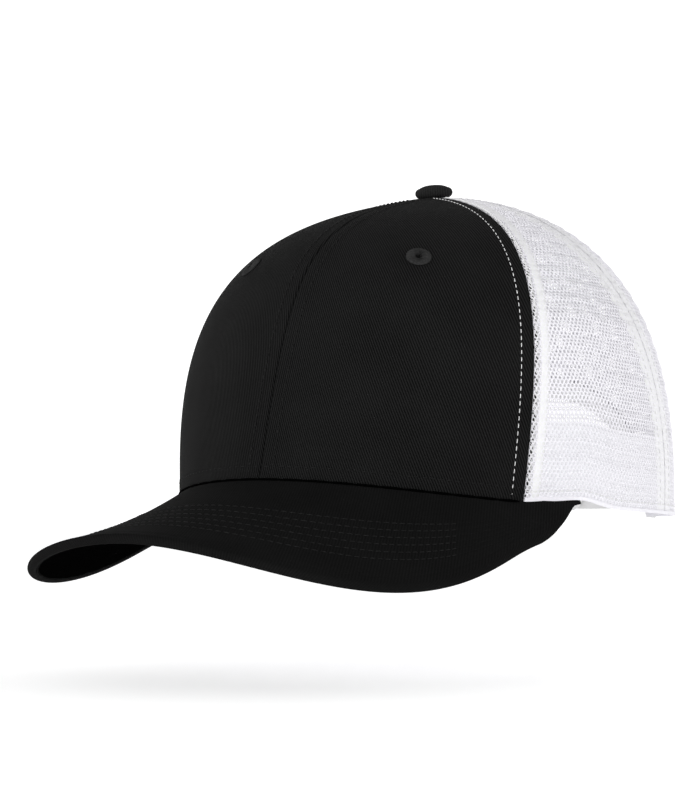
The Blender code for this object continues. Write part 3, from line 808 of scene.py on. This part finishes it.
def arch_edge(turn):
    """Azimuth and rise of the half-moon opening's edge, from 0 to 180 at its feet."""
    angle = np.radians(turn)
    across = np.sign(np.cos(angle)) * np.abs(np.cos(angle)) ** (2 / ARCH_POWER)
    up = np.maximum(np.sin(angle), 0) ** (2 / ARCH_POWER)
    return 180 - ARCH_HALF_WIDTH * across, ARCH_RISE * up


def walk(azimuth, rise, move):
    """Azimuth and rise reached by a small move across the crown."""
    across, up, _ = crown_axes(azimuth, rise)
    aa, uu, au = (across * across).sum(-1), (up * up).sum(-1), (across * up).sum(-1)
    along, climb = (move * across).sum(-1), (move * up).sum(-1)
    spread = aa * uu - au ** 2
    return azimuth + (along * uu - climb * au) / spread, rise + (climb * aa - along * au) / spread


def arch_frame(samples):
    """Azimuth, rise and the direction away from the opening, along its edge."""
    turn = np.linspace(0, 180, samples)
    azimuth, rise = arch_edge(turn)
    ahead = crown(*arch_edge(np.minimum(turn + 0.7, 180)))
    behind = crown(*arch_edge(np.maximum(turn - 0.7, 0)))
    normal = crown_axes(azimuth, rise)[2]
    return azimuth, rise, unit(np.cross(normal, ahead - behind))


def fold_section(width, edge, face, back, thickness):
    """Section of a tape folded over an edge, as distance from it and height."""
    turn = np.linspace(0, pi, 9)
    middle, radius = (face + back) / 2, (face - back) / 2
    leg = (0.2, 0.4, 0.55, 0.75, 0.97)
    outer = [(width, face)] + [(width * share, face + 0.05) for share in leg[::-1]]
    outer += [(edge - radius * 0.9 * sin(a), middle + radius * cos(a)) for a in turn]
    outer += [(width * share, back - 0.05) for share in leg] + [(width, back)]
    outer = np.array(outer)
    inner = outer.copy()
    inner[:, 1] = middle + (outer[:, 1] - middle) * (radius - thickness) / radius
    inner[:, 0] = np.where(outer[:, 0] < edge, edge + (outer[:, 0] - edge) * 0.5, outer[:, 0])
    return outer, inner


def add_binding():
    """Tape folded over the edge of the half-moon opening, with two rows of stitches."""
    azimuth, rise, away = arch_frame(170)
    outer, inner = fold_section(8.0, -0.1, 0.75, -1.55, 0.45)

    def sweep(section):
        spots = [walk(azimuth, rise, away * reach) for reach in section[:, 0]]
        return np.stack([
            on_crown(turn, np.maximum(up, -0.002), height)
            for (turn, up), height in zip(spots, section[:, 1])], 1)

    run = np.arange(len(azimuth))[:, None] * 1.1
    uv = pair(outer[:, 0] * np.sign(outer[:, 1]), run)
    binding = make_shell("arch_binding_tape", sweep(outer), sweep(inner), uv)
    settle(binding, TAPE, ["arch_binding"])
    spots = [walk(azimuth, rise, away * reach) for reach in (1.3, 6.6)]
    lines = [crown_line(turn, np.maximum(height, 0), 0.78) for turn, height in spots]
    sew("arch_thread", lines, WHITE_THREAD, "tape_white", pitch=2.6, radius=0.17, sink=0.25)


def add_hems():
    """Narrow folded hem along the bottom of the mesh."""
    start, end = seam_azimuth(SIDE_SEAM, 0) + 0.2, 180 - ARCH_HALF_WIDTH
    azimuth = np.linspace(start, end, 200)
    outer, inner = fold_section(1.3, 0.05, 0.16, -1.2, 0.3)

    def sweep(section):
        return np.stack([
            on_crown(azimuth, SIDE.rise_at(reach), height) for reach, height in section], 0)

    run = (azimuth * 1.55)[None, :]
    uv = pair(run, outer[:, :1] * np.sign(outer[:, 1:]))
    for side, flip in SIDES:
        hem = make_shell(f"mesh_hem_{side}", sweep(outer)[::-1], sweep(inner)[::-1], uv[::-1], flip)
        settle(hem, MESH)
        line = crown_line(azimuth, SIDE.rise_at(3.4), 0.02)
        sew(f"hem_thread_{side}", [line], WHITE_THREAD, "tape_white", flip, pitch=2.8, radius=0.15)


# Visor

def rim_line():
    """Even plan points along the visor's outer edge, from the right tip to the left."""
    angle = np.radians(np.linspace(-90, 90, 4001))
    tip_y = opening(VISOR_TIP)[1]
    side = np.sign(np.sin(angle)) * np.abs(np.sin(angle)) ** (2 / VISOR_SIDE_POWER)
    nose = np.maximum(np.cos(angle), 0) ** (2 / VISOR_NOSE_POWER)
    x = VISOR_HALF_WIDTH * side
    y = tip_y - (HALF_LENGTH + VISOR_LENGTH + tip_y) * nose
    hem_x, hem_y = opening(np.linspace(40, VISOR_TIP, 200))
    hem = np.interp(-y, -hem_y[::-1], hem_x[::-1])
    x = np.sign(x) * np.where(y > -60, np.maximum(np.abs(x), hem), np.abs(x))
    x += np.sign(x) * 2.0 * np.exp(-((y - tip_y + 15) / 15) ** 2)
    rim = pair(x, y)
    marks = distances(rim)
    return at_marks(rim, marks, np.linspace(0, marks[-1], 600))


RIM = rim_line()
RIM_OUT = unit(pair(np.gradient(RIM[:, 1]), -np.gradient(RIM[:, 0])))


def at_share(table, share):
    """Rows of a table at shares of its length."""
    return at_marks(table, np.arange(len(table)), share * (len(table) - 1))


def visor_plan(share, v, inset=0.0):
    """Plan points of the visor: share runs from the right tip, v from the crown to the rim."""
    share, v = np.broadcast_arrays(share, v)
    root = pair(*opening(VISOR_TIP * (2 * share - 1)))
    inward = unit(root)
    root = root - inward * 0.5
    rim = at_share(RIM, share) - at_share(RIM_OUT, share) * np.asarray(inset)[..., None]
    return root + (rim - root) * v[..., None]


def on_visor(plan, depth):
    """Points at a depth below the visor's upper surface."""
    x, y = plan[..., 0], plan[..., 1]
    reach = 0.25
    slope_x = (visor_height(x + reach, y) - visor_height(x - reach, y)) / (2 * reach)
    slope_y = (visor_height(x, y + reach) - visor_height(x, y - reach)) / (2 * reach)
    normal = unit(np.stack([-slope_x, -slope_y, np.ones_like(x)], -1))
    point = np.stack([x, y, visor_height(x, y) + tip_raise(x, y)], -1)
    return point - normal * np.asarray(depth)[..., None], normal


def visor_relief(v, share):
    """Quilting of the visor's cover between its rows of stitches."""
    fade = eased(share, 0.05, 0.12) * (1 - eased(share, 0.88, 0.95))
    length = 72 * np.sin(pi * np.clip(share, 0.02, 0.98)) ** 0.5
    rows = sum(bump_at(v * length, row * length, 0.5) for row in VISOR_ROWS)
    first, last = VISOR_ROWS[0], VISOR_ROWS[-1]
    raised = eased(v, first - 0.05, first) * (1 - eased(v, last, last + 0.05))
    return (0.10 * raised - 0.14 * rows) * fade


def visor_sweep(share, steps):
    """Rows of points and cloth coordinates for steps of (v, inset, depth, run)."""
    points, cloth = [], []
    outward = at_share(RIM_OUT, share)
    for v, inset, depth, run in steps:
        plan = visor_plan(share, v, inset)
        points.append(on_visor(plan, depth)[0])
        cloth.append(plan + outward * np.asarray(run)[..., None])
    return np.stack(points), np.stack(cloth)


def add_visor():
    """Visor covers: the upper one rolls round the rim and is turned under it."""
    share = 1 - np.linspace(0, 1, 241)
    taper = 0.3 + 0.7 * eased(np.minimum(share, 1 - share), 0.0, 0.05)
    thickness = VISOR_THICKNESS * taper
    half = thickness / 2
    cloth = VISOR_CLOTH * taper
    v = np.concatenate([
        np.linspace(0, 0.33, 12, endpoint=False), np.linspace(0.33, 0.82, 118, endpoint=False),
        np.linspace(0.82, 1, 24)])

    def upper_steps(inside):
        steps = []
        for value in v:
            distance = (1 - value) * 68 * np.clip(np.sin(pi * share), 0.05, 1)
            relief = visor_relief(value, share) - 0.16 * bump_at(distance, VISOR_LIP, 0.45)
            steps.append((value, half, inside - relief, 0.0))
        radius = half - inside
        for angle in np.radians(np.linspace(12, 180, 15)):
            steps.append((1.0, half - radius * sin(angle), half - radius * cos(angle),
                          half * angle))
        for inset in (0.4, 0.8, 1.2):
            steps.append((1.0, half + inset * taper, thickness - inside, half * pi + inset))
        return steps

    outer, uv = visor_sweep(share, upper_steps(0))
    inner, _ = visor_sweep(share, upper_steps(cloth))
    cover = make_shell("visor_upper_cover", outer, inner, uv)
    settle(cover, VISOR_TWILL, ["visor_top_cover"])
    v = np.linspace(0, 1, 110)
    under, uv = visor_sweep(share, [
        (at, half + cloth, thickness + 0.7 * visor_relief(at, share), 0.0) for at in v])
    upper, _ = visor_sweep(share, [(at, half + cloth, thickness - cloth, 0.0) for at in v])
    # The lower cover's near-black colour is partly painted shade for the visor's underside
    lining = make_shell("visor_lower_cover", upper, under, uv)
    settle(lining, BLACK_LINING_AND_SHADE, ["visor_under_cover"])
    above, below = [], []
    across = np.linspace(0.19, 0.81, 640)
    middle = VISOR_THICKNESS / 2
    for row in VISOR_ROWS:
        above.append(on_visor(visor_plan(across, row, middle), 0.06))
        line, normals = on_visor(visor_plan(across, row, middle + 2), 3.05)
        below.append((line, -normals))
    # The upper stitches' lighter colour is painted sheen
    sew("visor_thread", above, VISOR_THREAD_SHEEN, "thread_black", share=0.92, radius=0.15, sink=0.2)
    # The lower stitches' darker colour is painted shade
    sew("visor_thread_under", below, SHADED_UNDER_THREAD, "thread_black", radius=0.14, sink=0.25)


# Seam stitching

def add_seam_threads():
    """Topstitching of the front seam, the side seams and the front hem."""
    front = [beside_seam(FRONT_SEAM, offset, 0.005, 0.95, 0.06) for offset in (-4.6, 4.6)]
    sew("front_seam_thread", front, BLACK_THREAD, "thread_black", radius=0.2)
    for side, flip in SIDES:
        line = beside_seam(SIDE_SEAM, -5.0, 0.005, 0.955, 0.08)
        sew(f"side_thread_{side}", [line], WHITE_THREAD, "tape_white", flip, pitch=2.45, share=0.88,
            radius=0.145)
        azimuth = np.linspace(0.5, seam_azimuth(SIDE_SEAM, 0) - 0.5, 300)
        hem = crown_line(azimuth, FRONT.rise_at(HEM_STITCH), -0.12)
        sew(f"hem_topstitch_{side}", [hem], BLACK_THREAD, "thread_black", flip, radius=0.2)
        lines = [beside_seam(REAR_SIDE_SEAM, offset, 0.01, 0.95, 0.0) for offset in (-5.5, 5.5)]
        sew(f"rear_side_thread_{side}", lines, WHITE_THREAD, "tape_white", flip, radius=0.12)
        edge = beside_seam(SIDE_SEAM, 0.9, 0.005, 0.955, 0.05)
        sew(f"edge_zigzag_{side}", [edge], WHITE_THREAD, "tape_white", flip, pitch=1.5, share=1.05,
            radius=0.2, sink=0.2, lean=0.75)
    # Black cord along the join of the front panels and the visor: painted shadow, a dark line
    # standing in for the shadow gap where the panel's edge meets the visor
    azimuth = np.linspace(-59, 59, 500)
    cord = crown_line(azimuth, FRONT.rise_at(0.15))
    sew("visor_seam_painted_shadow", [cord], BLACK_LINING_AND_SHADE, "lining_black", pitch=8.0, share=1.12, radius=0.4,
        sink=-0.25)
    rear = [beside_seam(REAR_SEAM, offset, ARCH_RISE + 0.05, 0.95, 0.0) for offset in (-5.0, 5.0)]
    sew("rear_seam_thread", rear, WHITE_THREAD, "tape_white", radius=0.17)


# Button and eyelets

def lathe(profile, segments):
    """Grid of points turned about Z from a profile of radius and height."""
    angle = full_turn(segments)
    radius, height = profile[:, 0:1], profile[:, 1:2]
    return np.stack([radius * np.cos(angle), radius * np.sin(angle), height + 0 * angle], -1)


def add_button():
    """Fabric-covered button, gathered under its edge."""
    share = np.linspace(0, 1, 15)[1:]
    dome = pair(5.3 * share, 5.2 - 1.1 * share ** 2.6)
    roll = np.radians(np.linspace(16, 180, 14))
    side = pair(5.0 + 1.9 * np.sin(roll), 2.2 + 1.9 * np.cos(roll))
    tuck = np.array([[4.7, 0.34], [4.4, 0.55], [4.2, 0.9]])
    profile = np.concatenate([dome, side, tuck])
    segments = 96
    grid = lathe(profile, segments)
    pleats = np.interp(np.arange(len(profile)), [20, 25, 28, 30], [0, 0.02, 0.08, 0.08])
    grid[..., 2] += pleats[:, None] * np.cos(full_turn(segments) * 22)[None, :]
    points = np.concatenate([grid.reshape(-1, 3), [(0, 0, 5.2), (0, 0, 1.2)]])
    faces = grid_quads(len(profile), segments, wrap=True)[:, ::-1].tolist()
    last = (len(profile) - 1) * segments
    count = len(profile) * segments
    for k in range(segments):
        following = (k + 1) % segments
        faces.append([count, k, following])
        faces.append([count + 1, last + following, last + k])
    turn = np.array(Matrix.Rotation(radians(BUTTON_TILT), 3, "X"))
    uv = points[:, :2].copy()
    points = (points - [0, 0, 0.6]) @ turn.T + crown(0, 1)
    button = make_object("button_fabric", points, faces, uv)
    # The button's lighter twill is painted light on top of the cap
    settle(button, LIT_BUTTON_TWILL, ["button_cover"])


def add_eyelets():
    """Eyelets: close radial threads over a low ring."""
    threads, sides = 46, 14
    around, section = full_turn(threads * 6), full_turn(sides)
    ridge = 0.1 * np.cos(around * threads)[:, None]
    radius = 2.5 + (1.8 + ridge) * np.cos(section)
    height = 0.30 + (0.62 + ridge) * np.sin(section) - 2.1 * (np.cos(section) < -0.8)
    x, y = radius * np.cos(around)[:, None], radius * np.sin(around)[:, None]
    local = np.stack([x, y, height - (x ** 2 + y ** 2) / 190], -1)
    faces = grid_quads(len(around) + 1, sides, wrap=True) % (len(around) * sides)
    for side, azimuth in EYELET_AZIMUTHS.items():
        centre = on_crown(azimuth, EYELET_RISE, 0)
        across, _, normal = crown_axes(azimuth, EYELET_RISE)
        across = unit(across)
        axes = np.stack([across, np.cross(normal, across), normal])
        points = centre + local @ axes
        ring = make_object(f"eyelet_thread_{side}", points.reshape(-1, 3), faces.tolist())
        settle(ring, EYELET_THREAD, [f"eyelet_{side}"])


# Snap closure

def flat_strap(length, holes):
    """A flat strap with rounded edges, one rounded end and round holes."""
    curve = bpy.data.curves.new("strap_outline", "CURVE")
    curve.dimensions = "2D"
    curve.fill_mode = "BOTH"
    edge = 0.3
    curve.extrude = STRAP / 2 - edge
    curve.bevel_depth = edge
    curve.bevel_resolution = 2
    curve.offset = -edge
    half = STRAP_HEIGHT / 2
    end = 9.0
    cap = np.radians(np.linspace(-90, 90, 25))
    cap = pair(length - end + end * np.cos(cap), half * np.sin(cap))
    rings = [np.concatenate([[(0, -half)], cap, [(0, half)]])]
    turn = full_turn(28)
    for spot in holes:
        rings.append(pair(spot + HOLE_RADIUS * np.cos(turn), HOLE_RADIUS * np.sin(turn)))
    for ring in rings:
        spline = curve.splines.new("POLY")
        spline.points.add(len(ring) - 1)
        for point, (x, y) in zip(spline.points, ring):
            point.co = (x, y, 0, 1)
        spline.use_cyclic_u = True
    item = add_item("strap_outline", curve)
    bpy.context.view_layer.update()
    mesh = evaluated_mesh(item)
    bpy.data.objects.remove(item, do_unlink=True)
    shape = bmesh.new()
    shape.from_mesh(mesh)
    bmesh.ops.remove_doubles(shape, verts=shape.verts, dist=0.001)
    cuts = [((x, 0, 0), (1, 0, 0)) for x in range(1, ceil(length))]
    cuts += [((0, y, 0), (0, 1, 0)) for y in (-6, -3, 0, 3, 6)]
    for place, normal in cuts:
        bmesh.ops.bisect_plane(
            shape, geom=shape.verts[:] + shape.edges[:] + shape.faces[:], dist=0.01,
            plane_co=place, plane_no=normal)
    bmesh.ops.dissolve_degenerate(shape, edges=shape.edges[:], dist=0.005)
    return shape


def add_pegs(shape, spots):
    """Pegs with rounded heads, as solids that root in the strap."""
    profile = np.array([
        (1.45, -0.3), (1.45, PEG_TOP - 1.1), (1.75, PEG_TOP - 0.9), (1.75, PEG_TOP - 0.5),
        (1.45, PEG_TOP - 0.12), (0.8, PEG_TOP)])
    segments = 20
    for spot in spots:
        grid = lathe(profile, segments) + [spot, 0, STRAP / 2]
        points = [shape.verts.new(p) for p in grid.reshape(-1, 3)]
        for quad in grid_quads(len(profile), segments, wrap=True):
            shape.faces.new([points[i] for i in quad])
        shape.faces.new(points[:segments][::-1])
        shape.faces.new(points[-segments:])


def add_strap(name, side, depth, holes, pegs, nodes):
    """One strap with its sewn tab as a single piece."""
    flip = side == "right"
    start = 180 - ARCH_HALF_WIDTH - TAB_REACH
    end = FIRST_PEG + STRAP_END_MARGIN
    hinge = 180 - ARCH_HALF_WIDTH + HINGE_INSET
    holes, pegs = ([(a - start) * MM_PER_DEGREE for a in spots] for spots in (holes, pegs))
    shape = flat_strap((end - start) * MM_PER_DEGREE, holes)
    add_pegs(shape, pegs)
    shape.verts.index_update()
    flat = np.array([v.co for v in shape.verts])
    azimuth = start + flat[:, 0] / MM_PER_DEGREE
    middle = (STRAP_FOOT + STRAP_TOP) / 2 + STRAP_RAISE
    rise = middle + flat[:, 1] / STRAP_HEIGHT * (STRAP_TOP - STRAP_FOOT)
    ramp = eased(azimuth, hinge, hinge + STRAP_RAMP)
    seat = STRAP_TAB_DEPTH * (1 - ramp) + depth * ramp
    points = on_crown(azimuth, rise, -seat - STRAP / 2 + flat[:, 2])
    faces = [[v.index for v in face.verts] for face in shape.faces]
    shape.free()
    item = make_object(name, points, faces, flip=flip)
    item.data.set_sharp_from_angle(angle=radians(40))
    item.data.materials.append(SNAP)
    for turn in (hinge - 0.4 * STRAP_BEND, hinge + STRAP_BEND):
        x, y, z = on_crown(turn, middle, -STRAP_TAB_DEPTH - STRAP / 2) * MM
    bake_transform(item)
    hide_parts(*nodes)


def add_closure():
    """The two straps of the snap closure."""
    spots = [FIRST_PEG - PEG_PITCH * k for k in range(PEG_COUNT)]
    add_strap("snap_strap_holes", "left", 0.4, spots, [],
              ["hole_strap", "hole_strap_tab"])
    add_strap("snap_strap_pegs", "right", 2.2, [], spots,
              ["peg_strap", "peg_strap_tab"])


# Studio

def direction_to(azimuth, elevation):
    """Unit vector towards a viewing direction given in radians."""
    level = cos(elevation)
    return Vector((sin(azimuth) * level, -cos(azimuth) * level, sin(elevation)))


def add_studio():
    """Pale floor and soft light."""
    shape = bmesh.new()
    bmesh.ops.create_grid(shape, x_segments=1, y_segments=1, size=6)
    floor = add_item("floor", mesh_of("floor", shape))
    floor.location = (0, 0, cad_box[0][2] - FLOOR_DROP)
    pale = Look("pale_floor", 0.9, Specular_IOR_Level=0.1, Emission_Strength=0.42)
    set_inputs(pale.shader, Emission_Color=(1, 1, 1, 1))
    pale.colour(pale.noise(3.0), 0.92, 0.94)
    floor.data.materials.append(pale.material)
    world = bpy.data.worlds.new("studio")
    world.use_nodes = True
    tree = world.node_tree
    place = tree.nodes.new("ShaderNodeTexCoord")
    split = tree.nodes.new("ShaderNodeSeparateXYZ")
    sky = tree.nodes.new("ShaderNodeValToRGB")
    for stop, height, grey in zip(sky.color_ramp.elements, (0.2, 0.9), (1, 0.22)):
        stop.position = height
        stop.color = (grey, grey, grey, 1)
    tree.links.new(place.outputs["Generated"], split.inputs[0])
    tree.links.new(split.outputs[2], sky.inputs[0])
    tree.links.new(sky.outputs[0], tree.nodes["Background"].inputs["Color"])
    set_inputs(tree.nodes["Background"], Strength=1.32)
    bpy.context.scene.world = world
    azimuth = radians(VIEW_AZIMUTH)
    for name, turn, height, distance, size, power in (
            ("key", -40, 5, 1.6, 1.2, 14.0), ("fill", 75, 25, 1.7, 1.4, 1.5)):
        light = bpy.data.lights.new(name, "AREA")
        light.size = size
        light.energy = power
        lamp = add_item(name, light)
        towards = direction_to(azimuth + radians(turn), radians(height))
        lamp.location = towards * distance
        lamp.rotation_euler = towards.to_track_quat("Z", "Y").to_euler()


def add_camera():
    """Camera at the photo's viewing angle."""
    azimuth, elevation, roll = (radians(turn) for turn in (VIEW_AZIMUTH, -3.0, 0.41))
    distance, pixels_per_mm, image_side, sensor = 800.0, 2.742, 798, 36.0
    back = direction_to(azimuth, elevation)
    right = Vector((cos(azimuth), sin(azimuth), 0))
    up = back.cross(right)
    aim = right * -27.17 + Vector((0, 0, 37.86))
    data = bpy.data.cameras.new("camera")
    data.sensor_width = sensor
    data.lens = pixels_per_mm * distance / image_side * sensor
    camera = add_item("camera", data)
    turned_right = right * cos(roll) + up * sin(roll)
    turned_up = up * cos(roll) - right * sin(roll)
    axes = Matrix((turned_right, turned_up, back)).transposed().to_4x4()
    camera.matrix_world = Matrix.Translation((aim + back * distance) * MM) @ axes
    bpy.context.scene.camera = camera


add_front_panels()
add_mesh_panels()
add_tapes()
add_sweatband()
add_binding()
add_hems()
add_visor()
add_seam_threads()
add_button()
add_eyelets()
add_closure()
for node, material in (
        ("visor_board", BOARD), ("button_shell", STEEL), ("button_washer", STEEL)):
    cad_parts[node].data.materials.clear()
    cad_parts[node].data.materials.append(material)
add_studio()
add_camera()
bpy.context.scene.view_settings.view_transform = "Standard"
